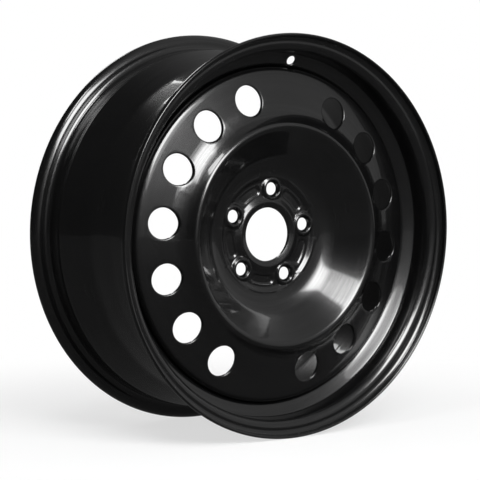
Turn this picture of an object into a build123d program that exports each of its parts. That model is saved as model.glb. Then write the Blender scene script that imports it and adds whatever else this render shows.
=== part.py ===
from build123d import *
import math
import os

# A pressed-steel car wheel: a rolled rim, a stamped disc and the weld beads that join them.
# Millimetres. The axle line is Y, the street side faces -Y and the rim's centre is the origin.
# Sections are drawn in the XY plane, where X is the radius and Y runs along the axle.

# Rim: rolled strip, measured on the side that carries the tyre
bead_seat_diameter = 436.6
rim_width = 177.8
rim_sheet = 2.8
flange_height = 17.3
flange_curl_radius = 9.5
flange_crown = 1.2
flange_lip = 3.0
flange_lip_droop = 24.0
flange_lip_bend = 4.5
flange_lip_round = 0.9
bead_heel_radius = 6.5
seat_width = 20.0
seat_taper = 5.0
seat_end_bend = 8.0
hump_height = 1.2
hump_run = 6.2
hump_bend = 5.0
wall_run = 8.0
wall_foot_bend = 6.0
well_depth = 18.3
well_width = 37.0
ledge_width = 37.0
ledge_rise = 2.6
well_bend = 22.0
ledge_bend = 28.0
valve_hole_diameter = 11.5
valve_rise = 6.8
valve_relief_diameter = 21.0

# Disc: stamped sheet, measured on its street side
disc_sheet = 4.0
wheel_offset = 42.5
disc_fit_gap = 0.05
shoulder_lead = 8.2
shoulder_bend = 7.5
weld_room = 9.0
face_tilt = 13.0
face_width = 54.15
face_foot_run = 12.0
face_foot_bend = 38.0
crest_width = 5.5
crest_rise = 26.8
crest_outer_bend = 6.0
crest_inner_bend = 9.0
bowl_foot_run = 16.5
bowl_foot_bend = 36.0
hub_ledge_run = 4.5
hub_ledge_height = 3.0
hub_ledge_bend = 3.5
hub_floor_radius = 63.0
hub_floor_bend = 3.0
nave_crest_radius = 38.5
nave_height = 3.2
nave_bend = 5.0
nave_foot_radius = 45.5
nave_foot_bend = 4.0
centre_bore_diameter = 63.4

# Hand holes: even pitch, one place left out at the valve and one opposite
hand_hole_diameter = 36.0
hand_hole_inset = 34.05
hand_hole_places = 16
hand_hole_round = 1.3

# Lugs: raised spring seats with a conical nut seat, and a mounting pad between each two
bolt_circle = 108.0
bolt_count = 5
bolt_hole_diameter = 14.9
boss_diameter = 30.0
boss_height = 3.0
boss_hollow = 1.4
boss_taper = 40.0
boss_round = 1.2
nut_seat_diameter = 20.0
nut_seat_angle = 60.0
pad_height = 1.6
pad_width = 11.5
pad_sweep = 22.0
pad_taper = 35.0
pad_round = 0.9

# Welds: arcs laid where the disc's skirt ends in the rim's well
weld_count = 8
weld_sweep = 27.0
weld_leg = 4.0
weld_crown = 0.5

# Where the patterns start, in degrees from +Z towards +X
clocking = 7.3

# Rim lines worked out from those sizes
bead_radius = bead_seat_diameter / 2
flange_radius = bead_radius + flange_height
well_radius = bead_radius - well_depth
hump_end = rim_width / 2 - seat_width - hump_run
hump_radius = bead_radius - seat_width * math.tan(math.radians(seat_taper)) + hump_height
well_start = wall_run - hump_end
well_end = well_start + well_width
ledge_end = well_end + ledge_width

# Disc lines worked out from those sizes: the outer part sits in the rim, the hub stands at the offset
skirt_radius = well_radius - rim_sheet - disc_fit_gap
skirt_end = well_end - weld_room
shoulder = well_start - shoulder_lead
face_foot_radius = skirt_radius - face_width
crest_outer_radius = face_foot_radius - face_foot_run
crest_inner_radius = crest_outer_radius - crest_width
face_fall = math.tan(math.radians(face_tilt))
face_foot = shoulder - face_width * face_fall
crest = shoulder - crest_rise
floor_back = -wheel_offset - pad_height
floor_front = floor_back - disc_sheet
hub_ledge_radius = hub_floor_radius + hub_ledge_run
bowl_foot_radius = hub_ledge_radius + bowl_foot_run
hub_ledge = floor_front - hub_ledge_height
first_angle = 90 - clocking
hand_hole_pitch = 360 / hand_hole_places
hand_hole_line = skirt_radius - hand_hole_inset


def bead_corners(side):
    """Tyre-side corners of one edge, from its lip in to the hump. side is -1 on the street side."""
    droop = math.radians(flange_lip_droop)
    face = rim_width / 2
    crown = face + flange_curl_radius + flange_crown
    lip = (flange_radius - flange_lip * math.sin(droop), side * (crown + flange_lip * math.cos(droop)))
    seat_end = (hump_radius - hump_height, side * (face - seat_width))
    return [
        lip,
        (flange_radius, side * crown),
        (flange_radius, side * face),
        (bead_radius, side * face),
        seat_end,
        (hump_radius, side * hump_end),
    ]


def fitted_bends(corners, bends):
    """Bend radii, made smaller where two bends would not fit on the straight between them."""
    legs = [Vector(b) - Vector(a) for a, b in zip(corners, corners[1:])]
    half_turns = [math.radians(a.get_angle(b)) / 2 for a, b in zip(legs, legs[1:])]
    used = [0.0] + [bend * math.tan(half) for bend, half in zip(bends, half_turns)] + [0.0]
    share = [min(1.0, 0.98 * leg.length / (a + b)) for leg, a, b in zip(legs, used, used[1:])]
    return [bend * min(a, b) for bend, a, b in zip(bends, share, share[1:])]


bead_bends = [flange_lip_bend, flange_curl_radius, bead_heel_radius, seat_end_bend, hump_bend]
drop_corners = [(well_radius, well_start), (well_radius, well_end), (well_radius + ledge_rise, ledge_end)]
drop_bends = [wall_foot_bend, well_bend, ledge_bend]
rim_corners = bead_corners(-1) + drop_corners + bead_corners(1)[::-1]
rim_bends = bead_bends + drop_bends + bead_bends[::-1]

# The valve stands square to the steep wall on the street side
wall_slope = (hump_radius - well_radius) / wall_run
valve_place = Vector(0, well_start - valve_rise / wall_slope, well_radius + valve_rise)
valve_axis = Vector(0, -wall_slope, -1)
valve_plane = Plane(valve_place.rotate(Axis.Y, clocking), z_dir=valve_axis.rotate(Axis.Y, clocking))

# Rim
with BuildPart() as rim:
    with BuildSketch(Plane.XY):
        with BuildLine():
            FilletPolyline(*rim_corners, radius=fitted_bends(rim_corners, rim_bends))
            offset(amount=rim_sheet, side=Side.LEFT)
        make_face()
    revolve(axis=Axis.Y)

    lips = rim.faces().sort_by(Axis.Y)
    fillet(lips[0].edges() + lips[-1].edges(), flange_lip_round)
    with BuildSketch(valve_plane):
        Circle(valve_hole_diameter / 2)
    extrude(amount=2 * rim_sheet, both=True, mode=Mode.SUBTRACT)
rim.part.label = "rim"

# Disc
disc_corners = [
    (centre_bore_diameter / 2 - disc_sheet, floor_front),
    (nave_crest_radius, floor_front - nave_height),
    (nave_foot_radius, floor_front),
    (hub_floor_radius, floor_front),
    (hub_ledge_radius, hub_ledge),
    (bowl_foot_radius, hub_ledge),
    (crest_inner_radius, crest),
    (crest_outer_radius, crest),
    (face_foot_radius, face_foot),
    (skirt_radius, shoulder),
    (skirt_radius, skirt_end),
]
disc_bends = [
    nave_bend,
    nave_foot_bend,
    hub_floor_bend,
    hub_ledge_bend,
    bowl_foot_bend,
    crest_inner_bend,
    crest_outer_bend,
    face_foot_bend,
    shoulder_bend,
]


def on_street_side(edge):
    """True for an edge on the front of the sloping face that carries the hand holes."""
    middle = edge.center()
    front = shoulder - (skirt_radius - math.hypot(middle.X, middle.Z)) * face_fall
    return middle.Y < front + disc_sheet / 2


floor_plane = Plane.XZ.offset(-floor_front)
back_plane = Plane.XZ.offset(-floor_back)
boss_radius = boss_diameter / 2
with BuildPart() as disc:
    with BuildSketch(Plane.XY):
        with BuildLine():
            FilletPolyline(*disc_corners, radius=fitted_bends(disc_corners, disc_bends))
            offset(amount=disc_sheet, side=Side.LEFT)
        make_face()
    revolve(axis=Axis.Y)

    # Spring seats: raised in front and hollow behind
    with BuildSketch(floor_plane):
        with PolarLocations(bolt_circle / 2, bolt_count, first_angle):
            Circle(boss_radius)
    extrude(amount=boss_height, taper=boss_taper)
    boss_tops = disc.faces(Select.LAST).filter_by(Axis.Y).group_by(Axis.Y)[0]
    fillet(boss_tops.edges(), boss_round)
    with BuildSketch(back_plane):
        with PolarLocations(bolt_circle / 2, bolt_count, first_angle):
            Circle(boss_radius - disc_sheet / 2)
    extrude(amount=boss_hollow, taper=boss_taper, mode=Mode.SUBTRACT)

    # Mounting pads: sunk in front and proud behind, half way between the bolts
    for pad_plane, pad_mode in ((floor_plane, Mode.SUBTRACT), (back_plane, Mode.ADD)):
        with BuildSketch(pad_plane):
            for bolt in range(bolt_count):
                pad_start = first_angle + (bolt + 0.5) * 360 / bolt_count - pad_sweep / 2
                with BuildLine():
                    CenterArc((0, 0), (bolt_circle - pad_width) / 2, pad_start, pad_sweep)
                    CenterArc((0, 0), (bolt_circle + pad_width) / 2, pad_start, pad_sweep)
                    for pad_end, side in ((pad_start, 180), (pad_start + pad_sweep, 0)):
                        pad_tip = Vector(bolt_circle / 2, 0).rotate(Axis.Z, pad_end)
                        CenterArc(pad_tip, pad_width / 2, pad_end + side, 180)
                make_face()
        extrude(amount=-pad_height, taper=pad_taper, mode=pad_mode)
        fillet(disc.faces(Select.LAST).filter_by(Axis.Y).group_by(Axis.Y)[-1].edges(), pad_round)

    # Centre bore, nut seats and bolt holes
    with BuildSketch(Plane.XZ):
        Circle(centre_bore_diameter / 2)
    extrude(amount=rim_width, mode=Mode.SUBTRACT)
    with Locations(floor_plane.offset(boss_height)):
        with PolarLocations(bolt_circle / 2, bolt_count, first_angle):
            CounterSinkHole(bolt_hole_diameter / 2, nut_seat_diameter / 2, counter_sink_angle=nut_seat_angle)

    # Hand holes
    with BuildSketch(Plane.XZ):
        for half_turn in (0, 180):
            with PolarLocations(
                hand_hole_line,
                hand_hole_places // 2 - 1,
                start_angle=first_angle + half_turn + hand_hole_pitch,
                angular_range=180 - 2 * hand_hole_pitch,
                endpoint=True,
            ):
                Circle(hand_hole_diameter / 2)
    extrude(amount=rim_width, mode=Mode.SUBTRACT)
    fillet(disc.edges(Select.LAST).filter_by(on_street_side), hand_hole_round)

    # Room for the valve's foot, coined into the shoulder
    with BuildSketch(valve_plane):
        Circle(valve_relief_diameter / 2)
    extrude(amount=shoulder_lead + valve_relief_diameter, mode=Mode.SUBTRACT)
disc.part.label = "disc"

# Weld beads, in the corner between the end of the disc's skirt and the rim's well
weld_root = (well_radius - rim_sheet, skirt_end)
weld_toe_on_rim = (well_radius - rim_sheet, skirt_end + weld_leg)
weld_toe_on_disc = (well_radius - rim_sheet - weld_leg, skirt_end)
with BuildPart() as welds:
    for bead in range(weld_count):
        turn = clocking + (bead + 0.5) * 360 / weld_count - weld_sweep / 2
        with BuildSketch(Plane.XY.rotated((0, turn, 0))):
            with BuildLine():
                Line(weld_toe_on_disc, weld_root)
                Line(weld_root, weld_toe_on_rim)
                SagittaArc(weld_toe_on_rim, weld_toe_on_disc, -weld_crown)
            make_face()
        revolve(axis=Axis.Y, revolution_arc=weld_sweep)
welds.part.label = "weld_beads"

os.makedirs("parts", exist_ok=True)
export_step(rim.part, "parts/rim.step")
export_step(disc.part, "parts/disc.step")
export_step(welds.part, "parts/weld_beads.step")
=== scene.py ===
"""Looks of a gloss-black pressed-steel car wheel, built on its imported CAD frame."""

import bisect
import math

import bmesh
import bpy
from mathutils import Matrix, Vector


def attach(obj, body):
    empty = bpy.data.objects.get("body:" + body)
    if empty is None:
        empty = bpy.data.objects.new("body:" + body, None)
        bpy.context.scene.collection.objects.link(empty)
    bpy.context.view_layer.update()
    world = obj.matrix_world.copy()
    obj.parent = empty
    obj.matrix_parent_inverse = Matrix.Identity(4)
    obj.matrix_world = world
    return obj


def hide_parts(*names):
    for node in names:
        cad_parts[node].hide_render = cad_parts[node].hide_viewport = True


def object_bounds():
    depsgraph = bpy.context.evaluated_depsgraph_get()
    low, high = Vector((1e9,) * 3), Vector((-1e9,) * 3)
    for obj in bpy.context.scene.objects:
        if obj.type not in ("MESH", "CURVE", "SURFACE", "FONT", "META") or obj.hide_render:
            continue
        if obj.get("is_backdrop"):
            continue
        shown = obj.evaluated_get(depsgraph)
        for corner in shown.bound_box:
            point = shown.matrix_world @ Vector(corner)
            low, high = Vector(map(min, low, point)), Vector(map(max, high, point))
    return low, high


bl_info = {
    "name": "Steel Wheel",
    "version": (1, 0, 0),
    "blender": (4, 5, 0),
    "location": "View3D > Sidebar > Steel Wheel",
    "description": "Builds a pressed-steel car wheel with its paint, and a studio stage for it",
    "category": "Object",
}

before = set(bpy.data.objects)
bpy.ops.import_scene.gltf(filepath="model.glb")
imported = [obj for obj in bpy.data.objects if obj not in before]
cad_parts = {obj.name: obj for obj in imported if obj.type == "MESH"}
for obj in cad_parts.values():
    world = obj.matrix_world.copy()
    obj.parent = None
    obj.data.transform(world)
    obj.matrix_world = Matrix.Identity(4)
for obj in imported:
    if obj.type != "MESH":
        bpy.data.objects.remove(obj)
CAD_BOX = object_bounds()

MM = 0.001
FULL_TURN = 2 * math.pi


# Properties


def millimetres(name, description, default):
    """A length property whose default is written in millimetres."""
    return bpy.props.FloatProperty(
        name=name, description=description, default=default * MM, unit="LENGTH", precision=5
    )


def degrees(name, description, default):
    """An angle property whose default is written in degrees."""
    return bpy.props.FloatProperty(
        name=name, description=description, default=math.radians(default), subtype="ANGLE"
    )


def share(name, description, default):
    """A property from 0 to 1."""
    return bpy.props.FloatProperty(
        name=name, description=description, default=default, min=0, max=1, subtype="FACTOR"
    )


def paint_colour(name, description, default):
    """A linear colour property."""
    return bpy.props.FloatVectorProperty(
        name=name, description=description, default=default, size=3, min=0, max=1, subtype="COLOR"
    )


class RimSettings(bpy.types.PropertyGroup):
    """Sizes of the rolled rim, on the side that carries the tyre."""

    bead_seat_diameter: millimetres("Bead Seat Diameter", "Across the bead seats at the flanges", 436.6)
    width: millimetres("Width", "Between the two flanges", 177.8)
    sheet: millimetres("Sheet", "Thickness of the rolled strip", 2.8)
    flange_height: millimetres("Flange Height", "From the bead seat to the top of the flange", 17.3)
    flange_curl: millimetres("Flange Curl", "Bend of the flange's outward curl", 9.5)
    flange_crown: millimetres("Flange Crown", "Straight on top of the curl", 1.2)
    flange_lip: millimetres("Flange Lip", "Length of the drooping lip", 3.0)
    flange_droop: degrees("Flange Droop", "How far the lip turns towards the axle", 24)
    flange_lip_bend: millimetres("Flange Lip Bend", "Bend where the lip droops", 4.5)
    lip_round: millimetres("Lip Round", "Rounded edge of the lip", 0.9)
    heel_bend: millimetres("Heel Bend", "Bend between flange and bead seat", 6.5)
    seat_width: millimetres("Seat Width", "Width of a bead seat", 20)
    seat_taper: degrees("Seat Taper", "Slope of the bead seats", 5)
    seat_end_bend: millimetres("Seat End Bend", "Bend between bead seat and hump", 8)
    hump_height: millimetres("Hump Height", "Rise of the safety hump", 1.2)
    hump_run: millimetres("Hump Run", "Length of the rise to the hump", 6.2)
    hump_bend: millimetres("Hump Bend", "Bend over the hump", 5)
    wall_run: millimetres("Wall Run", "Length of the steep street-side wall along the axle", 8)
    wall_foot_bend: millimetres("Wall Foot Bend", "Bend at the foot of the steep wall", 6)
    well_depth: millimetres("Well Depth", "From the bead seat to the bottom of the well", 18.3)
    well_width: millimetres("Well Width", "Width of the flat well", 37)
    well_bend: millimetres("Well Bend", "Bend at the well's inner edge", 22)
    ledge_width: millimetres("Ledge Width", "Width of the gentle ledge behind the well", 37)
    ledge_rise: millimetres("Ledge Rise", "Rise of that ledge", 2.6)
    ledge_bend: millimetres("Ledge Bend", "Bend at the ledge's inner edge", 28)
    valve_hole: millimetres("Valve Hole", "Diameter of the valve hole", 11.5)
    valve_rise: millimetres("Valve Rise", "Valve hole's middle above the well", 6.8)


class DiscSettings(bpy.types.PropertyGroup):
    """Sizes of the stamped disc, on its street side."""

    sheet: millimetres("Sheet", "Thickness of the stamped sheet", 4)
    offset: millimetres("Offset", "From the rim's middle to the mounting face", 42.5)
    fit_gap: millimetres("Fit Gap", "Room between skirt and rim", 0.05)
    shoulder_lead: millimetres("Shoulder Lead", "Shoulder in front of the well", 8.2)
    shoulder_bend: millimetres("Shoulder Bend", "Bend between face and skirt", 7.5)
    weld_room: millimetres("Weld Room", "Well left free behind the skirt", 9)
    face_tilt: degrees("Face Tilt", "Slope of the face that carries the hand holes", 13)
    face_width: millimetres("Face Width", "Radial width of that face", 54.15)
    face_foot_run: millimetres("Face Foot Run", "Radial run from the face up to the crest", 12)
    face_foot_bend: millimetres("Face Foot Bend", "Bend between face and crest", 38)
    crest_width: millimetres("Crest Width", "Radial width of the crest", 5.5)
    crest_rise: millimetres("Crest Rise", "Crest in front of the shoulder", 26.8)
    crest_outer_bend: millimetres("Crest Outer Bend", "Bend on the crest's outer side", 6)
    crest_inner_bend: millimetres("Crest Inner Bend", "Bend on the crest's inner side", 9)
    bowl_foot_run: millimetres("Bowl Foot Run", "Radial run from the hub ledge to the bowl", 16.5)
    bowl_foot_bend: millimetres("Bowl Foot Bend", "Bend at the foot of the bowl", 36)
    hub_ledge_run: millimetres("Hub Ledge Run", "Radial run from hub floor to hub ledge", 4.5)
    hub_ledge_height: millimetres("Hub Ledge Height", "Hub ledge in front of the hub floor", 3)
    hub_ledge_bend: millimetres("Hub Ledge Bend", "Bend at the ledge's top", 3.5)
    hub_floor_radius: millimetres("Hub Floor Radius", "Outer edge of the hub floor", 63)
    hub_floor_bend: millimetres("Hub Floor Bend", "Bend at the floor's outer edge", 3)
    nave_crest_radius: millimetres("Nave Crest Radius", "Radius of the raised ring round the bore", 38.5)
    nave_height: millimetres("Nave Height", "Rise of that ring", 3.2)
    nave_bend: millimetres("Nave Bend", "Bend over that ring", 5)
    nave_foot_radius: millimetres("Nave Foot Radius", "Outer foot of that ring", 45.5)
    nave_foot_bend: millimetres("Nave Foot Bend", "Bend at that foot", 4)
    bore_diameter: millimetres("Bore Diameter", "Centre bore", 63.4)
    edge_round: millimetres("Edge Round", "Soft edge left by the paint on cut edges", 0.5)
    hand_hole: millimetres("Hand Hole", "Diameter of a hand hole", 36)
    hand_hole_inset: millimetres("Hand Hole Inset", "Hand holes' middles inside the skirt", 34.05)
    hand_hole_places: bpy.props.IntProperty(
        name="Hand Hole Places", description="Even places, two of them left out", default=16
    )
    hand_hole_round: millimetres("Hand Hole Round", "Rolled front edge of a hand hole", 1.3)
    bolt_circle: millimetres("Bolt Circle", "Diameter of the circle of bolts", 108)
    bolt_count: bpy.props.IntProperty(name="Bolt Count", description="Number of bolts", default=5)
    bolt_hole: millimetres("Bolt Hole", "Diameter of a bolt hole", 14.9)
    boss_diameter: millimetres("Boss Diameter", "Foot of a raised nut seat", 30)
    boss_height: millimetres("Boss Height", "Rise of a nut seat", 3)
    boss_hollow: millimetres("Boss Hollow", "Hollow behind a nut seat", 1.4)
    boss_taper: degrees("Boss Taper", "Slope of the boss's flank", 40)
    nut_seat: millimetres("Nut Seat", "Diameter of the conical seat at its top", 20)
    nut_seat_angle: degrees("Nut Seat Angle", "Full angle of the conical seat", 60)
    pad_height: millimetres("Pad Height", "Mounting pads behind the hub floor", 1.6)
    pad_width: millimetres("Pad Width", "Width of a mounting pad", 11.5)
    pad_sweep: degrees("Pad Sweep", "Sweep of a mounting pad between its round ends", 22)
    pad_taper: degrees("Pad Taper", "Slope of a mounting pad's flank", 35)
    valve_relief: millimetres("Valve Relief", "Diameter kept free round the valve", 21)
    clocking: degrees("Clocking", "Turn of valve, bolts and holes from straight up", 7.3)


class WeldSettings(bpy.types.PropertyGroup):
    """Sizes of the weld beads behind the disc's skirt."""

    count: bpy.props.IntProperty(name="Count", description="Number of weld beads", default=8)
    sweep: degrees("Sweep", "Length of a bead round the rim", 27)
    leg: millimetres("Leg", "Leg of the bead's section", 4)
    crown: millimetres("Crown", "Bulge of the bead's section", 0.5)
    ripple: millimetres("Ripple", "Depth of the ripples along a bead", 0.35)
    ripple_pitch: millimetres("Ripple Pitch", "Length of a ripple along a bead", 2.4)
    end_run: millimetres("End Run", "How long a bead takes to reach its full leg", 5)


class PaintSettings(bpy.types.PropertyGroup):
    """The black coat."""

    colour: paint_colour("Colour", "Colour of the black coat", (0.0015, 0.0015, 0.0016))
    thin_colour: paint_colour("Thin Colour", "Colour where the coat is thin", (0.003, 0.003, 0.0031))
    roughness: share("Roughness", "Roughness of the black at its glossiest", 0.14)
    roughness_spread: share("Roughness Spread", "How far dull spots and streaks stand above that", 0.1)
    coat_roughness: share("Coat Roughness", "Roughness of the clear skin on the black", 0.05)
    peel: millimetres("Peel", "Height of the orange peel", 0.005)
    rim_waves: millimetres("Rim Waves", "Height of the rolled strip's slow waves", 0.08)
    rim_marks: millimetres("Rim Marks", "Height of the marks that the rollers leave", 0.003)
    disc_waves: millimetres("Disc Waves", "Height of the stamped sheet's slow waves", 0.12)
    disc_marks: millimetres("Disc Marks", "Height of the marks that the press leaves", 0.01)
    weld_waves: millimetres("Weld Waves", "Height of the weld beads' waves", 0.2)


class StageSettings(bpy.types.PropertyGroup):
    """Camera, floor, background and lamps."""

    azimuth: degrees("Azimuth", "Camera's turn round the wheel from straight in front", -36.08)
    elevation: degrees("Elevation", "Camera's height above level", 4.45)
    aim: bpy.props.FloatVectorProperty(
        name="Aim",
        description="Middle of the near flange, from the camera: right, up and forward",
        default=(0.06257, 0.00346, 2.46413),
        subtype="XYZ_LENGTH",
    )
    aim_depth: millimetres("Aim Depth", "Where that middle lies along the axle", -100.335)
    lens: bpy.props.FloatProperty(
        name="Lens", description="Focal length, millimetres on a 36 mm sensor", default=159.46
    )
    floor_colour: paint_colour("Floor Colour", "Colour of the floor", (0.86, 0.86, 0.86))
    shadow_share: share("Shadow Share", "How much of the floor's own shade shows near the wheel", 0.35)
    floor_gloss: share("Floor Gloss", "How bright the floor is in a gloss", 0.07)
    room_strength: share("Room Strength", "How bright the dark side of the room is", 0.03)
    wall_strength: share("Wall Strength", "How bright the pale side of the room is", 0.33)
    fill_strength: share("Fill Strength", "How bright the room's even fill light is", 0.3)
    wall_side: bpy.props.FloatVectorProperty(
        name="Wall Side",
        description="Where the room is palest",
        default=(0.8, -0.57, 0.2),
        subtype="DIRECTION",
    )


# Sections: corner lists with a bend at each corner, as radius and place along the axle


def fitted_bends(corners, bends):
    """Bend radii, made smaller where two bends would not fit on the straight between them."""
    legs = [(Vector(b) - Vector(a)) for a, b in zip(corners, corners[1:])]
    turns = [a.angle(b) for a, b in zip(legs, legs[1:])]
    used = [0.0] + [bend * math.tan(turn / 2) for bend, turn in zip(bends, turns)] + [0.0]
    room = [min(1.0, 0.98 * leg.length / (a + b)) for leg, a, b in zip(legs, used, used[1:])]
    return [bend * min(a, b) for bend, a, b in zip(bends, room, room[1:])]


def ring_plan(corners, step, arc_step):
    """Steps of each straight and each bend of a section. step gives a straight's step at a radius."""
    corners = [Vector(c) for c in corners]
    legs = [b - a for a, b in zip(corners, corners[1:])]
    straights = [max(1, round(leg.length / step(a.x + leg.x / 2))) for a, leg in zip(corners, legs)]
    bends = [max(2, math.ceil(a.angle(b) / arc_step)) for a, b in zip(legs, legs[1:])]
    return straights, bends


def bent_path(corners, bends, plan):
    """Points along straights joined by bends, one bend for each inner corner."""
    corners = [Vector(c) for c in corners]
    straights, bend_steps = plan
    points = []
    start = corners[0]
    for i, bend in enumerate(bends):
        before = (corners[i + 1] - corners[i]).normalized()
        after = (corners[i + 2] - corners[i + 1]).normalized()
        turn = before.angle(after)
        side = 1 if before.cross(after) > 0 else -1
        reach = bend * math.tan(turn / 2)
        arc_start = corners[i + 1] - reach * before
        points += [start.lerp(arc_start, k / straights[i]) for k in range(straights[i])]
        centre = arc_start + bend * side * Vector((-before.y, before.x))
        spoke = arc_start - centre
        for k in range(bend_steps[i]):
            angle = side * turn * k / bend_steps[i]
            points.append(centre + Matrix.Rotation(angle, 2) @ spoke)
        start = corners[i + 1] + reach * after
    points += [start.lerp(corners[-1], k / straights[-1]) for k in range(straights[-1] + 1)]
    return points


def offset_corners(corners, distance):
    """The corners of a sheet's other side, moved to the left of the line."""
    corners = [Vector(c) for c in corners]
    ways = [(b - a).normalized() for a, b in zip(corners, corners[1:])]
    lefts = [Vector((-w.y, w.x)) for w in ways]
    moved = [corners[0] + distance * lefts[0]]
    for corner, a, b in zip(corners[1:], lefts, lefts[1:]):
        moved.append(corner + distance * (a + b) / (1 + a.dot(b)))
    moved.append(corners[-1] + distance * lefts[-1])
    return moved


def offset_bends(corners, bends, distance, least):
    """The bends of a sheet's other side: larger on the outside of a bend, smaller on its inside."""
    corners = [Vector(c) for c in corners]
    other = []
    for a, b, c, bend in zip(corners, corners[1:], corners[2:], bends):
        side = 1 if (b - a).cross(c - b) > 0 else -1
        other.append(max(least, bend - side * distance))
    return other


class Section:
    """One side of a bent sheet: its points, and the way along them."""

    def __init__(self, corners, bends, plan):
        self.points = bent_path(corners, bends, plan)
        self.lengths = [0.0]
        for a, b in zip(self.points, self.points[1:]):
            self.lengths.append(self.lengths[-1] + (b - a).length)

    def at(self, length):
        """The point at a length along the section."""
        i = min(max(bisect.bisect(self.lengths, length) - 1, 0), len(self.points) - 2)
        part = (length - self.lengths[i]) / (self.lengths[i + 1] - self.lengths[i])
        return self.points[i].lerp(self.points[i + 1], part)

    def nearest(self, point):
        """The length along the section that comes nearest to a point."""
        i = min(range(len(self.points)), key=lambda k: (self.points[k] - point).length)
        way = (self.points[i + 1] - self.points[i]).normalized()
        return self.lengths[i] + (point - self.points[i]).dot(way)

    def depth(self, radius):
        """Place along the axle at a radius, for a face whose radius only grows."""
        i = min(max(bisect.bisect(self.points, radius, key=lambda p: p.x) - 1, 0), len(self.points) - 2)
        a, b = self.points[i], self.points[i + 1]
        return a.y + (b.y - a.y) * (radius - a.x) / (b.x - a.x)

    def ring_at(self, radius):
        """Index of the first ring at or beyond a radius."""
        return next(i for i, point in enumerate(self.points) if point.x >= radius)


# Meshes: rings spun round the axle, with windows left open for the holes


def on_wheel(radius, depth, turn):
    """A point of the wheel. turn runs from straight up towards +X."""
    return Vector((radius * math.sin(turn), depth, radius * math.cos(turn)))


class Pressing:
    """Points and faces of one pressed piece, gathered before they become a mesh."""

    def __init__(self, turns):
        self.turns = turns
        self.points = []
        self.faces = []

    def add(self, point):
        self.points.append(point)
        return len(self.points) - 1

    def strip(self, outer, inner):
        """Faces between two closed loops of as many points."""
        for k in range(len(outer)):
            n = (k + 1) % len(outer)
            self.faces.append((outer[k], outer[n], inner[n], inner[k]))

    def spin(self, section, windows, press):
        """Spins a section into rings of points, and leaves the windows open."""
        grid = [[self.add(press(on_wheel(p.x, p.y, turn))) for turn in self.turns] for p in section.points]
        count = len(self.turns)
        for i in range(len(grid) - 1):
            open_columns = set()
            for low, high, first, last in windows:
                if low <= i < high:
                    open_columns.update(j % count for j in range(first, last))
            for j in range(count):
                if j not in open_columns:
                    n = (j + 1) % count
                    self.faces.append((grid[i][j], grid[i][n], grid[i + 1][n], grid[i + 1][j]))
        return grid

    def window(self, low, high, middle, half_sweep):
        """Ring and column numbers of a window that is even about a turn."""
        first = bisect.bisect_left(self.turns, (middle - half_sweep) % FULL_TURN - 1e-9)
        last = bisect.bisect_left(self.turns, (middle + half_sweep) % FULL_TURN - 1e-9)
        return low, high, first, last + (len(self.turns) if last < first else 0)

    def window_edge(self, window):
        """Ring and column numbers round a window, in order."""
        low, high, first, last = window
        count = len(self.turns)
        edge = [(low, j % count) for j in range(first, last)]
        edge += [(i, last % count) for i in range(low, high)]
        edge += [(high, j % count) for j in range(last, first, -1)]
        return edge + [(i, first % count) for i in range(high, low, -1)]

    def close_in(self, grid, window, flat, space, centre, radius, rings):
        """Fills a window up to a round hole. Returns the hole's loop and its spokes, on the flat."""
        edge = self.window_edge(window)
        outside = [flat(i, j) for i, j in edge]
        spokes = [(place - centre).normalized() for place in outside]
        loop = [grid[i][j] for i, j in edge]
        for k in range(1, rings + 1):
            inner = [
                self.add(space(place.lerp(centre + radius * spoke, k / rings)))
                for place, spoke in zip(outside, spokes)
            ]
            self.strip(loop, inner)
            loop = inner
        return loop, spokes

    def line_hole(self, front, spokes, lining, back):
        """Walls a hole from its front loop through the lining's points to its back loop."""
        for place in lining:
            inner = [self.add(place(spoke)) for spoke in spokes]
            self.strip(front, inner)
            front = inner
        self.strip(front, back)

    def finish(self, name, node, material):
        """Makes the mesh object that stands for a CAD node."""
        mesh = bpy.data.meshes.new(name)
        mesh.from_pydata(self.points, [], self.faces)
        work = bmesh.new()
        work.from_mesh(mesh)
        bmesh.ops.delete(work, geom=[vert for vert in work.verts if not vert.link_faces], context="VERTS")
        bmesh.ops.remove_doubles(work, verts=work.verts, dist=1e-6)
        bmesh.ops.recalc_face_normals(work, faces=work.faces)
        work.to_mesh(mesh)
        work.free()
        mesh.polygons.foreach_set("use_smooth", [True] * len(mesh.polygons))
        mesh.set_sharp_from_angle(angle=math.radians(40))
        piece = bpy.data.objects.new(name, mesh)
        bpy.context.scene.collection.objects.link(piece)
        mesh.materials.append(material)
        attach(piece, "root")
        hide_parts(node)
        return piece


def even_turns(count, fine_half, fine_parts):
    """Turns from the clocking on, with finer steps round the valve at turn 0."""
    turns = []
    for k in range(count):
        near = min(k, count - 1 - k) < fine_half
        parts = fine_parts if near else 1
        turns += [FULL_TURN * (k + p / parts) / count for p in range(parts)]
    return turns


def ease(low, high, value):
    """A smooth step from 0 at low to 1 at high."""
    part = min(max((value - low) / (high - low), 0.0), 1.0)
    return part * part * (3 - 2 * part)


def soft_max(a, b, blend):
    """The larger of two heights, with their meeting rounded over blend."""
    part = max(blend - abs(a - b), 0.0) / blend
    return max(a, b) + part * part * blend / 4


# Rim


def bead_corners(rim, side):
    """Tyre-side corners of one edge, from its lip in to the hump. side is -1 on the street side."""
    bead = rim.bead_seat_diameter / 2
    face = rim.width / 2
    flange = bead + rim.flange_height
    crown = face + rim.flange_curl + rim.flange_crown
    seat_end = bead - rim.seat_width * math.tan(rim.seat_taper)
    lip_in = rim.flange_lip * math.sin(rim.flange_droop)
    lip_out = rim.flange_lip * math.cos(rim.flange_droop)
    return [
        (flange - lip_in, side * (crown + lip_out)),
        (flange, side * crown),
        (flange, side * face),
        (bead, side * face),
        (seat_end, side * (face - rim.seat_width)),
        (seat_end + rim.hump_height, side * (face - rim.seat_width - rim.hump_run)),
    ]


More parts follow.
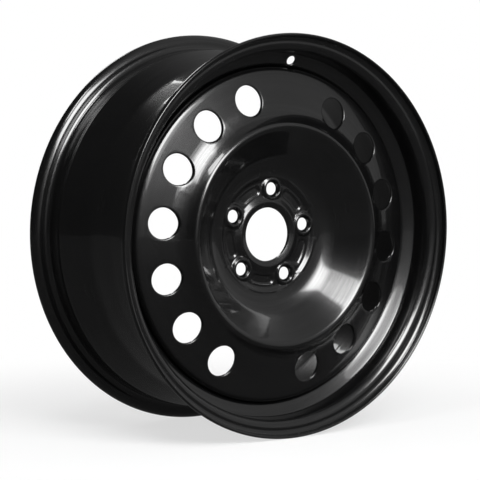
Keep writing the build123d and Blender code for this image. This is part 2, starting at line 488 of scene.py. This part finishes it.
def well_lines(rim):
    """Radius of the well, and where it starts and ends along the axle."""
    start = rim.wall_run + rim.seat_width + rim.hump_run - rim.width / 2
    return rim.bead_seat_diameter / 2 - rim.well_depth, start, start + rim.well_width


def rim_sides(rim):
    """Tyre side and inner side of the rolled strip."""
    well, start, end = well_lines(rim)
    drop = [(well, start), (well, end), (well + rim.ledge_rise, end + rim.ledge_width)]
    bead_bends = [rim.flange_lip_bend, rim.flange_curl, rim.heel_bend, rim.seat_end_bend, rim.hump_bend]
    corners = bead_corners(rim, -1) + drop + bead_corners(rim, 1)[::-1]
    bends = bead_bends + [rim.wall_foot_bend, rim.well_bend, rim.ledge_bend] + bead_bends[::-1]
    bends = fitted_bends(corners, bends)
    inner = offset_corners(corners, rim.sheet)
    inner_bends = offset_bends(corners, bends, rim.sheet, 0.3 * MM)
    first = Vector(corners[0]).lerp(inner[0], 0.5)
    last = Vector(corners[-1]).lerp(inner[-1], 0.5)
    lip = [rim.lip_round]
    tyre_corners = [first] + corners + [last]
    plan = ring_plan(tyre_corners, lambda radius: 6 * MM, math.radians(9))
    tyre_side = Section(tyre_corners, lip + bends + lip, plan)
    inner_side = Section([first] + inner + [last], lip + inner_bends + lip, plan)
    return tyre_side, inner_side


def valve_line(rim):
    """Middle of the valve hole on the tyre side, and its way towards the axle."""
    well, start, _ = well_lines(rim)
    wall = Vector(bead_corners(rim, -1)[-1]) - Vector((well, start))
    inward = Vector((-wall.y, wall.x)).normalized()
    return Vector((well, start)) + wall * (rim.valve_rise / wall.x), inward if inward.x < 0 else -inward


def build_rim(rim, clocking, material):
    """The rolled rim with its valve hole."""
    tyre_side, inner_side = rim_sides(rim)
    valve, inward = valve_line(rim)
    columns = 256
    pressing = Pressing(even_turns(columns, 5, 2))
    radius = rim.valve_hole / 2
    half_sweep = FULL_TURN / columns * 4
    loops = []
    for side, place in ((tyre_side, valve), (inner_side, valve + rim.sheet * inward)):
        middle = side.nearest(place)
        rings = [i for i, length in enumerate(side.lengths) if abs(length - middle) < 2.2 * radius]
        reach = side.at(middle).x

        def space(flat, side=side, reach=reach):
            point = side.at(flat.x)
            return on_wheel(point.x, point.y, flat.y / reach)

        def flat(i, j, side=side, reach=reach):
            turn = pressing.turns[j]
            return Vector((side.lengths[i], (turn - FULL_TURN if turn > math.pi else turn) * reach))

        loops.append((side, rings[0], rings[-1], space, flat, Vector((middle, 0.0))))
    low = min(loops[0][1], loops[1][1])
    high = max(loops[0][2], loops[1][2])
    window = pressing.window(low, high, 0.0, half_sweep)
    edges = []
    for side, _, _, space, flat, centre in loops:
        grid = pressing.spin(side, [window], lambda point: point)
        edges.append(pressing.close_in(grid, window, flat, space, centre, radius + 0.5 * MM, 6))
    (front, spokes), (back, _) = edges
    outer_space, outer_centre = loops[0][3], loops[0][5]
    inner_space, inner_centre = loops[1][3], loops[1][5]
    lining = [
        lambda spoke, part=part: outer_space(outer_centre + radius * spoke).lerp(
            inner_space(inner_centre + radius * spoke), part
        )
        for part in (0.15, 0.5, 0.85)
    ]
    pressing.line_hole(front, spokes, lining, back)
    pressing.points = [turned(point, clocking) for point in pressing.points]
    return pressing.finish("rim_shell", "rim", material)


def turned(point, turn):
    """A point turned about the axle, from straight up towards +X."""
    c, s = math.cos(turn), math.sin(turn)
    return Vector((point.x * c + point.z * s, point.y, point.z * c - point.x * s))


# Disc


class DiscForm:
    """The disc's two sides, its pressed relief and the places of its holes, all from its settings."""

    def __init__(self, disc, rim):
        self.disc = disc
        self.valve, self.valve_way = (Vector((0, line.y, line.x)) for line in valve_line(rim))
        well, start, end = well_lines(rim)
        self.skirt = well - rim.sheet - disc.fit_gap
        skirt_end = end - disc.weld_room
        shoulder = start - disc.shoulder_lead
        face_foot = self.skirt - disc.face_width
        crest_outer = face_foot - disc.face_foot_run
        crest = shoulder - disc.crest_rise
        self.floor_back = -disc.offset - disc.pad_height
        self.floor = self.floor_back - disc.sheet
        ledge = self.floor - disc.hub_ledge_height
        ledge_radius = disc.hub_floor_radius + disc.hub_ledge_run
        corners = [
            (disc.bore_diameter / 2 - disc.sheet, self.floor),
            (disc.nave_crest_radius, self.floor - disc.nave_height),
            (disc.nave_foot_radius, self.floor),
            (disc.hub_floor_radius, self.floor),
            (ledge_radius, ledge),
            (ledge_radius + disc.bowl_foot_run, ledge),
            (crest_outer - disc.crest_width, crest),
            (crest_outer, crest),
            (face_foot, shoulder - disc.face_width * math.tan(disc.face_tilt)),
            (self.skirt, shoulder),
            (self.skirt, skirt_end),
        ]
        bends = [
            disc.nave_bend,
            disc.nave_foot_bend,
            disc.hub_floor_bend,
            disc.hub_ledge_bend,
            disc.bowl_foot_bend,
            disc.crest_inner_bend,
            disc.crest_outer_bend,
            disc.face_foot_bend,
            disc.shoulder_bend,
        ]
        bends = fitted_bends(corners, bends)
        back = offset_corners(corners, disc.sheet)
        back_bends = offset_bends(corners, bends, disc.sheet, 0.4 * MM)
        corners = [self.trimmed(corners)] + corners[1:]
        back = [self.trimmed(back)] + back[1:]
        first = corners[0].lerp(back[0], 0.5)
        last = Vector(corners[-1]).lerp(back[-1], 0.5)
        edge = [disc.edge_round]
        front_corners = [first] + corners + [last]
        plan = ring_plan(front_corners, self.ring_step, math.radians(10))
        self.front = Section(front_corners, edge + bends + edge, plan)
        self.back = Section([first] + back + [last], edge + back_bends + edge, plan)

    def trimmed(self, corners):
        """Where the centre bore cuts the first straight."""
        a, b = Vector(corners[0]), Vector(corners[1])
        return a.lerp(b, (self.disc.bore_diameter / 2 - a.x) / (b.x - a.x))

    def ring_step(self, radius):
        """Distance between rings: close on the hub floor, where the relief is."""
        disc = self.disc
        return 1.15 * MM if disc.nave_foot_radius < radius < disc.hub_floor_radius else 5.5 * MM

    def from_bolt(self, x, z):
        """Distance to the nearest bolt's middle."""
        pitch = FULL_TURN / self.disc.bolt_count
        turn = math.atan2(x, z)
        turn -= round(turn / pitch) * pitch
        radius = math.hypot(x, z)
        return math.hypot(radius * math.cos(turn) - self.disc.bolt_circle / 2, radius * math.sin(turn))

    def into_pad(self, x, z):
        """How far a place lies inside the nearest mounting pad's outline. Negative outside."""
        disc = self.disc
        pitch = FULL_TURN / disc.bolt_count
        turn = math.atan2(x, z) - pitch / 2
        turn -= round(turn / pitch) * pitch
        along = turn - min(max(turn, -disc.pad_sweep / 2), disc.pad_sweep / 2)
        radius = math.hypot(x, z)
        line = disc.bolt_circle / 2
        return disc.pad_width / 2 - math.hypot(radius * math.cos(along) - line, radius * math.sin(along))

    def clear_of_valve(self, point):
        """A point of the shoulder, pressed back where the valve needs room."""
        away = point - self.valve
        away -= away.dot(self.valve_way) * self.valve_way
        return point + away.normalized() * max(self.disc.valve_relief / 2 - away.length, 0.0)

    def press_front(self, point):
        """Raises the nut seats and sinks the pads on the street side, and makes room for the valve."""
        disc = self.disc
        if math.hypot(point.x, point.z) > disc.bolt_circle / 2 + disc.boss_diameter:
            return self.clear_of_valve(point)
        flank = disc.boss_height * math.tan(disc.boss_taper)
        foot = disc.boss_diameter / 2
        from_bolt = self.from_bolt(point.x, point.z)
        boss = disc.boss_height * (1 - ease(foot - flank - 0.4 * MM, foot + 0.6 * MM, from_bolt))
        slope = disc.pad_height * math.tan(disc.pad_taper)
        sunk = disc.pad_height * ease(-0.3 * MM, slope + 0.3 * MM, self.into_pad(point.x, point.z))
        height = self.floor - point.y
        if boss > 0:
            height = soft_max(height, boss, 0.5 * MM)
        return Vector((point.x, self.floor - height + sunk, point.z))

    def press_back(self, point):
        """Hollows the nut seats and raises the pads behind."""
        disc = self.disc
        if math.hypot(point.x, point.z) > disc.bolt_circle / 2 + disc.boss_diameter:
            return point
        flank = disc.boss_hollow * math.tan(disc.boss_taper)
        foot = (disc.boss_diameter - disc.sheet) / 2
        from_bolt = self.from_bolt(point.x, point.z)
        hollow = disc.boss_hollow * (1 - ease(foot - flank - 0.3 * MM, foot + 0.3 * MM, from_bolt))
        slope = disc.pad_height * math.tan(disc.pad_taper)
        proud = disc.pad_height * ease(-0.3 * MM, slope + 0.3 * MM, self.into_pad(point.x, point.z))
        return Vector((point.x, point.y - hollow + proud, point.z))

    def front_at(self, flat):
        """A point of the street side over a place on the flat."""
        return self.press_front(Vector((flat.x, self.front.depth(flat.length), flat.y)))

    def back_at(self, flat):
        """A point of the back over a place on the flat."""
        return self.press_back(Vector((flat.x, self.back.depth(flat.length), flat.y)))


def add_hole(pressing, form, grids, window, turn, circle, edge_radius, lining, back_radius, rings):
    """Closes one window on both sides of the disc down to a hole, and walls the hole."""
    centre = Vector((circle * math.sin(turn), circle * math.cos(turn)))

    def flat_on(grid):
        def flat(i, j):
            point = pressing.points[grid[i][j]]
            return Vector((point.x, point.z))

        return flat

    front_grid, back_grid = grids
    front, spokes = pressing.close_in(
        front_grid, window, flat_on(front_grid), form.front_at, centre, edge_radius, rings
    )
    back, _ = pressing.close_in(
        back_grid, window, flat_on(back_grid), form.back_at, centre, back_radius, rings
    )
    pressing.line_hole(front, spokes, [lambda spoke, line=line: line(centre, spoke) for line in lining], back)


def hand_hole_lining(form):
    """The rolled front edge and the wall of a hand hole."""
    disc = form.disc
    radius = disc.hand_hole / 2

    def rolled(angle):
        reach = radius + disc.hand_hole_round * (1 - math.sin(angle))
        sink = Vector((0, disc.hand_hole_round * (1 - math.cos(angle)), 0))
        return lambda centre, spoke: form.front_at(centre + reach * spoke) + sink

    def near_back(centre, spoke):
        return form.back_at(centre + radius * spoke) - Vector((0, 0.4 * MM, 0))

    return [rolled(math.radians(angle)) for angle in (22, 45, 67, 90)] + [near_back]


def nut_seat_lining(form):
    """The conical seat and the wall of a bolt hole."""
    disc = form.disc
    top = form.floor - disc.boss_height
    seat, hole = disc.nut_seat / 2, disc.bolt_hole / 2
    seat_end = top + (seat - hole) / math.tan(disc.nut_seat_angle / 2)
    wall_end = form.floor_back - disc.boss_hollow
    profile = [
        (seat + 0.15 * MM, top + 0.1 * MM),
        (seat - 0.1 * MM, top + 0.35 * MM),
        (hole + 0.15 * MM, seat_end - 0.25 * MM),
        (hole, seat_end + 0.1 * MM),
        (hole, wall_end - 0.3 * MM),
    ]

    def ring(radius, depth):
        def place(centre, spoke):
            flat = centre + radius * spoke
            return Vector((flat.x, depth, flat.y))

        return place

    return [ring(radius, depth) for radius, depth in profile]


def build_disc(disc, rim, material):
    """The stamped disc with its hand holes, bolt holes, bore and pads."""
    form = DiscForm(disc, rim)
    columns = 320
    pressing = Pressing(even_turns(columns, 4, 3))
    hole_line = form.skirt - disc.hand_hole_inset
    hole_reach = disc.hand_hole / 2 + disc.hand_hole_round
    face_margin, hub_margin = 3 * MM, 7.5 * MM
    ring_at = form.front.ring_at
    face_rings = (
        ring_at(hole_line - hole_reach - face_margin) - 1,
        ring_at(hole_line + hole_reach + face_margin),
    )
    hub_rings = (ring_at(disc.nave_crest_radius) - 1, ring_at(disc.hub_floor_radius + hub_margin))
    hand_hole_pitch = FULL_TURN / disc.hand_hole_places
    left_out = (0, disc.hand_hole_places // 2)
    hand_turns = [k * hand_hole_pitch for k in range(disc.hand_hole_places) if k not in left_out]
    bolt_turns = [k * FULL_TURN / disc.bolt_count for k in range(disc.bolt_count)]
    cell = FULL_TURN / columns
    hand_windows = [pressing.window(*face_rings, turn, 8 * cell) for turn in hand_turns]
    bolt_windows = [pressing.window(*hub_rings, turn, 17 * cell) for turn in bolt_turns]
    windows = hand_windows + bolt_windows
    grids = [
        pressing.spin(form.front, windows, form.press_front),
        pressing.spin(form.back, windows, form.press_back),
    ]
    for window, turn in zip(hand_windows, hand_turns):
        add_hole(
            pressing, form, grids, window, turn, hole_line, hole_reach, hand_hole_lining(form),
            disc.hand_hole / 2 + 0.4 * MM, 5,
        )
    for window, turn in zip(bolt_windows, bolt_turns):
        add_hole(
            pressing, form, grids, window, turn, disc.bolt_circle / 2, disc.nut_seat / 2 + 0.5 * MM,
            nut_seat_lining(form), disc.bolt_hole / 2 + 0.3 * MM, 12,
        )
    pressing.points = [turned(point, disc.clocking) for point in pressing.points]
    return pressing.finish("disc_shell", "disc", material)


# Weld beads


def build_welds(weld, disc, rim, material):
    """Rippled beads in the corner behind the disc's skirt."""
    well, _, end = well_lines(rim)
    root = Vector((well - rim.sheet, end - disc.weld_room))
    pressing = Pressing([])
    length = weld.sweep * root.x
    steps = round(length / weld.ripple_pitch * 6)
    across = 10
    for bead in range(weld.count):
        middle = (bead + 0.5) * FULL_TURN / weld.count
        loops = []
        for k in range(steps + 1):
            along = length * k / steps
            to_end = min(along, length - along)
            leg = weld.leg * math.sqrt(max(1 - (1 - min(to_end / weld.end_run, 1)) ** 2, 0.02))
            wave = abs(math.sin(math.pi * along / weld.ripple_pitch))
            swell = weld.crown - weld.ripple * (1 - wave)
            section = [root]
            for a in range(across + 1):
                part = a / across
                place = Vector((root.x - leg * (1 - part), root.y + leg * part))
                bulge = swell * 4 * part * (1 - part) * leg / weld.leg
                section.append(place + bulge * Vector((-1, 1)).normalized())
            turn = middle + (along - length / 2) / root.x
            loops.append([pressing.add(on_wheel(p.x, p.y, turn)) for p in section])
        for a, b in zip(loops, loops[1:]):
            pressing.strip(a, b)
        pressing.faces.append(tuple(loops[0]))
        pressing.faces.append(tuple(loops[-1]))
    pressing.points = [turned(point, disc.clocking) for point in pressing.points]
    return pressing.finish("weld_seams", "weld_beads", material)


# Finishes


class Socket:
    """A shader value that can be written into sums. Each operator adds a Math node."""

    def __init__(self, graph, socket):
        self.graph = graph
        self.socket = socket

    def sum_of(self, operation, a, b):
        return self.graph.node("ShaderNodeMath", {"operation": operation}, {0: a, 1: b})

    def __add__(self, other):
        return self.sum_of("ADD", self, other)

    def __radd__(self, other):
        return self.sum_of("ADD", other, self)

    def __sub__(self, other):
        return self.sum_of("SUBTRACT", self, other)

    def __rsub__(self, other):
        return self.sum_of("SUBTRACT", other, self)

    def __mul__(self, other):
        return self.sum_of("MULTIPLY", self, other)

    def __rmul__(self, other):
        return self.sum_of("MULTIPLY", other, self)


class Graph:
    """A node tree that is filled from the output back."""

    def __init__(self, tree):
        self.tree = tree
        self.tree.nodes.clear()

    def node(self, kind, settings, inputs, output=0):
        """Adds a node, with its settings first and then its socket values or links."""
        node = self.tree.nodes.new(kind)
        for name, value in settings.items():
            setattr(node, name, value)
        for name, value in inputs.items():
            if isinstance(value, Socket):
                self.tree.links.new(value.socket, node.inputs[name])
            else:
                node.inputs[name].default_value = value
        return Socket(self, node.outputs[output]) if node.outputs else None

    def place(self):
        """The object's own coordinates, in metres."""
        return self.node("ShaderNodeTexCoord", {}, {}, "Object")

    def noise(self, scale, detail, roughness=0.5):
        """Noise from 0 to 1 in the object's own coordinates."""
        return self.node(
            "ShaderNodeTexNoise",
            {},
            {"Vector": self.place(), "Scale": scale, "Detail": detail, "Roughness": roughness},
        )

    def mix_colour(self, factor, a, b):
        """A colour between two others."""
        return self.node("ShaderNodeMix", {"data_type": "RGBA"}, {0: factor, 6: a, 7: b}, 2)

    def draw_marks(self, scale):
        """Noise drawn out round the axle, as the press and the rollers leave it."""
        place = self.place()
        flat = self.node("ShaderNodeVectorMath", {"operation": "MULTIPLY"}, {0: place, 1: (1, 0, 1)})
        radius = self.node("ShaderNodeVectorMath", {"operation": "LENGTH"}, {0: flat}, "Value")
        along = self.node("ShaderNodeSeparateXYZ", {}, {0: place}, "Y")
        section = self.node("ShaderNodeCombineXYZ", {}, {0: radius, 1: along})
        drawn = self.node(
            "ShaderNodeVectorMath", {"operation": "MULTIPLY_ADD"}, {0: place, 1: (0.03, 0.03, 0.03), 2: section}
        )
        return self.node("ShaderNodeTexNoise", {}, {"Vector": drawn, "Scale": scale, "Detail": 3})


def opaque(colour):
    """A colour property as a shader colour."""
    return (*colour, 1.0)


def black_coat(name, paint, wave_height, mark_height):
    """Gloss black paint with thin places, dull spots, orange peel, and the sheet's waves and draw marks."""
    material = bpy.data.materials.new(name)
    material.use_nodes = True
    graph = Graph(material.node_tree)
    thin = graph.noise(38, 4, 0.6)
    dull = graph.noise(14, 3, 0.55)
    marks = graph.draw_marks(650)
    height = paint.peel * graph.noise(420, 2) + wave_height * graph.noise(22, 1) + mark_height * marks
    shader = graph.node(
        "ShaderNodeBsdfPrincipled",
        {},
        {
            "Base Color": graph.mix_colour(thin, opaque(paint.colour), opaque(paint.thin_colour)),
            "Roughness": paint.roughness + paint.roughness_spread * (dull + marks),
            "Metallic": 0.0,
            "IOR": 1.5,
            "Coat Weight": 0.3 + 1.1 * marks,
            "Coat Roughness": paint.coat_roughness,
            "Normal": graph.node("ShaderNodeBump", {}, {"Height": height, "Distance": 1.0, "Strength": 1.0}),
        },
    )
    graph.node("ShaderNodeOutputMaterial", {}, {"Surface": shader})
    return material


# Stage


def seen_rays(graph):
    """Two values: 1 for the rays straight to the eye, and 1 for those by way of a gloss or a glass."""
    kinds = ("Camera", "Glossy", "Transmission")
    camera, glossy, glass = (graph.node("ShaderNodeLightPath", {}, {}, f"Is {kind} Ray") for kind in kinds)
    return camera, glossy + glass


def make_floor(stage):
    """A plain pale floor: white to the eye with the wheel's shadow on it, and dim in a gloss."""
    low = CAD_BOX[0][2]
    mesh = bpy.data.meshes.new("floor")
    half = 4.0
    corners = [(-half, -half, low), (half, -half, low), (half, half, low), (-half, half, low)]
    mesh.from_pydata(corners, [], [(0, 1, 2, 3)])
    floor = bpy.data.objects.new("floor", mesh)
    bpy.context.scene.collection.objects.link(floor)
    material = bpy.data.materials.new("pale_floor")
    material.use_nodes = True
    graph = Graph(material.node_tree)
    straight, reflected = seen_rays(graph)
    away = graph.node("ShaderNodeVectorMath", {"operation": "LENGTH"}, {0: graph.place()}, "Value")
    near = graph.node(
        "ShaderNodeMapRange",
        {"interpolation_type": "SMOOTHSTEP"},
        {"Value": away, "From Min": 0.25, "From Max": 0.75, "To Min": 1.0, "To Max": 0.0},
    )
    lit = graph.node("ShaderNodeBsdfDiffuse", {}, {"Color": opaque(stage.floor_colour)})
    white = graph.node("ShaderNodeEmission", {}, {"Color": (1, 1, 1, 1), "Strength": 1.0})
    dim = graph.node("ShaderNodeEmission", {}, {"Color": (1, 1, 1, 1), "Strength": stage.floor_gloss})
    plain = graph.node("ShaderNodeMixShader", {}, {0: reflected, 1: white, 2: dim})
    shown = straight * (1 - stage.shadow_share * near) + reflected
    surface = graph.node("ShaderNodeMixShader", {}, {0: shown, 1: lit, 2: plain})
    graph.node("ShaderNodeOutputMaterial", {}, {"Surface": surface})
    mesh.materials.append(material)
    floor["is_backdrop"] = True


def make_background(stage):
    """White to the eye. A gloss shows a pale wall in front on the right, and a dark room behind."""
    world = bpy.data.worlds.new("studio")
    bpy.context.scene.world = world
    world.use_nodes = True
    graph = Graph(world.node_tree)
    straight, reflected = seen_rays(graph)
    way = graph.node("ShaderNodeTexCoord", {}, {}, "Generated")
    facing = graph.node(
        "ShaderNodeVectorMath", {"operation": "DOT_PRODUCT"}, {0: way, 1: stage.wall_side}, "Value"
    )
    wall = graph.node(
        "ShaderNodeMapRange",
        {"interpolation_type": "SMOOTHSTEP"},
        {
            "Value": facing,
            "From Min": -0.3,
            "From Max": 0.9,
            "To Min": stage.room_strength,
            "To Max": stage.wall_strength,
        },
    )
    strength = straight + reflected * wall + (1 - straight - reflected) * stage.fill_strength
    room = graph.node("ShaderNodeBackground", {}, {"Color": (1, 1, 1, 1), "Strength": strength})
    graph.node("ShaderNodeOutputWorld", {}, {"Surface": room})


def add_lamp(name, azimuth, elevation, distance, size, brightness, roll=0.0):
    """A soft box that faces the wheel, placed and rolled in degrees. Its front looks white at brightness 1."""
    light = bpy.data.lights.new(name, "AREA")
    light.shape = "RECTANGLE"
    light.size, light.size_y = size
    light.energy = brightness * math.pi * size[0] * size[1]
    lamp = bpy.data.objects.new(name, light)
    bpy.context.scene.collection.objects.link(lamp)
    lamp.visible_camera = False
    azimuth, elevation = math.radians(azimuth), math.radians(elevation)
    level = math.cos(elevation)
    way = Vector((math.sin(azimuth) * level, -math.cos(azimuth) * level, math.sin(elevation)))
    turn = way.to_track_quat("Z", "Y").to_matrix() @ Matrix.Rotation(math.radians(roll), 3, "Z")
    lamp.matrix_world = Matrix.Translation(way * distance) @ turn.to_4x4()


def add_lamps():
    """A slanted soft box that fades towards its edge, a strip high on the left and a small box behind."""
    for step, length in enumerate((1.1, 1.3, 1.5, 1.8, 2.2)):
        add_lamp("key", -11, 32, 2.2 + 0.02 * step, (length, 0.75 + 0.08 * step), 2.8, -37)
    add_lamp("left", -54, 55, 2.2, (0.4, 0.7), 12)
    add_lamp("back", 170, 34, 2.4, (0.5, 0.4), 4)


def make_camera(stage):
    """A camera at the photograph's viewing angle."""
    azimuth, elevation = stage.azimuth, stage.elevation
    right = Vector((math.cos(azimuth), math.sin(azimuth), 0))
    level = math.cos(elevation)
    back = Vector((math.sin(azimuth) * level, -math.cos(azimuth) * level, math.sin(elevation)))
    up = back.cross(right)
    place = Vector((0, stage.aim_depth, 0)) - stage.aim[0] * right - stage.aim[1] * up + stage.aim[2] * back
    data = bpy.data.cameras.new("camera")
    data.sensor_width = 36
    data.lens = stage.lens
    camera = bpy.data.objects.new("camera", data)
    bpy.context.scene.collection.objects.link(camera)
    camera.matrix_world = Matrix.Translation(place) @ Matrix((right, up, back)).transposed().to_4x4()
    bpy.context.scene.camera = camera


# Operators


class WHEEL_OT_rim(bpy.types.Operator):
    """Build the rolled rim"""

    bl_idname = "wheel.rim"
    bl_label = "Rim"

    def execute(self, context):
        scene = context.scene
        paint = scene.wheel_paint
        material = black_coat("rim_paint", paint, paint.rim_waves, paint.rim_marks)
        build_rim(scene.wheel_rim, scene.wheel_disc.clocking, material)
        return {"FINISHED"}


class WHEEL_OT_disc(bpy.types.Operator):
    """Build the stamped disc"""

    bl_idname = "wheel.disc"
    bl_label = "Disc"

    def execute(self, context):
        scene = context.scene
        paint = scene.wheel_paint
        material = black_coat("disc_paint", paint, paint.disc_waves, paint.disc_marks)
        build_disc(scene.wheel_disc, scene.wheel_rim, material)
        return {"FINISHED"}


class WHEEL_OT_welds(bpy.types.Operator):
    """Build the weld beads"""

    bl_idname = "wheel.welds"
    bl_label = "Weld Beads"

    def execute(self, context):
        scene = context.scene
        paint = scene.wheel_paint
        material = black_coat("weld_paint", paint, paint.weld_waves, 0.0)
        build_welds(scene.wheel_weld, scene.wheel_disc, scene.wheel_rim, material)
        return {"FINISHED"}


class WHEEL_OT_stage(bpy.types.Operator):
    """Set up the floor, the background, the lamps and the camera"""

    bl_idname = "wheel.stage"
    bl_label = "Stage"

    def execute(self, context):
        stage = context.scene.wheel_stage
        context.scene.view_settings.view_transform = "Standard"
        make_floor(stage)
        make_background(stage)
        add_lamps()
        make_camera(stage)
        return {"FINISHED"}


class WHEEL_PT_panel(bpy.types.Panel):
    """Steel wheel tools in the sidebar"""

    bl_idname = "WHEEL_PT_panel"
    bl_label = "Steel Wheel"
    bl_space_type = "VIEW_3D"
    bl_region_type = "UI"
    bl_category = "Steel Wheel"

    def draw(self, context):
        for operator in OPERATORS:
            self.layout.operator(operator.bl_idname)


OPERATORS = (WHEEL_OT_rim, WHEEL_OT_disc, WHEEL_OT_welds, WHEEL_OT_stage)
SETTINGS = {
    "wheel_rim": RimSettings,
    "wheel_disc": DiscSettings,
    "wheel_weld": WeldSettings,
    "wheel_paint": PaintSettings,
    "wheel_stage": StageSettings,
}
CLASSES = (*SETTINGS.values(), *OPERATORS, WHEEL_PT_panel)


def register():
    for cls in CLASSES:
        bpy.utils.register_class(cls)
    for name, group in SETTINGS.items():
        setattr(bpy.types.Scene, name, bpy.props.PointerProperty(type=group))


def unregister():
    for name in SETTINGS:
        delattr(bpy.types.Scene, name)
    for cls in reversed(CLASSES):
        bpy.utils.unregister_class(cls)


def main():
    register()
    bpy.ops.wheel.rim()
    bpy.ops.wheel.disc()
    bpy.ops.wheel.welds()
    bpy.ops.wheel.stage()
    boxes = {"cad": CAD_BOX, "visual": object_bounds()}
    {name: [list(corner) for corner in box] for name, box in boxes.items()}


if __name__ == "__main__":
    main()
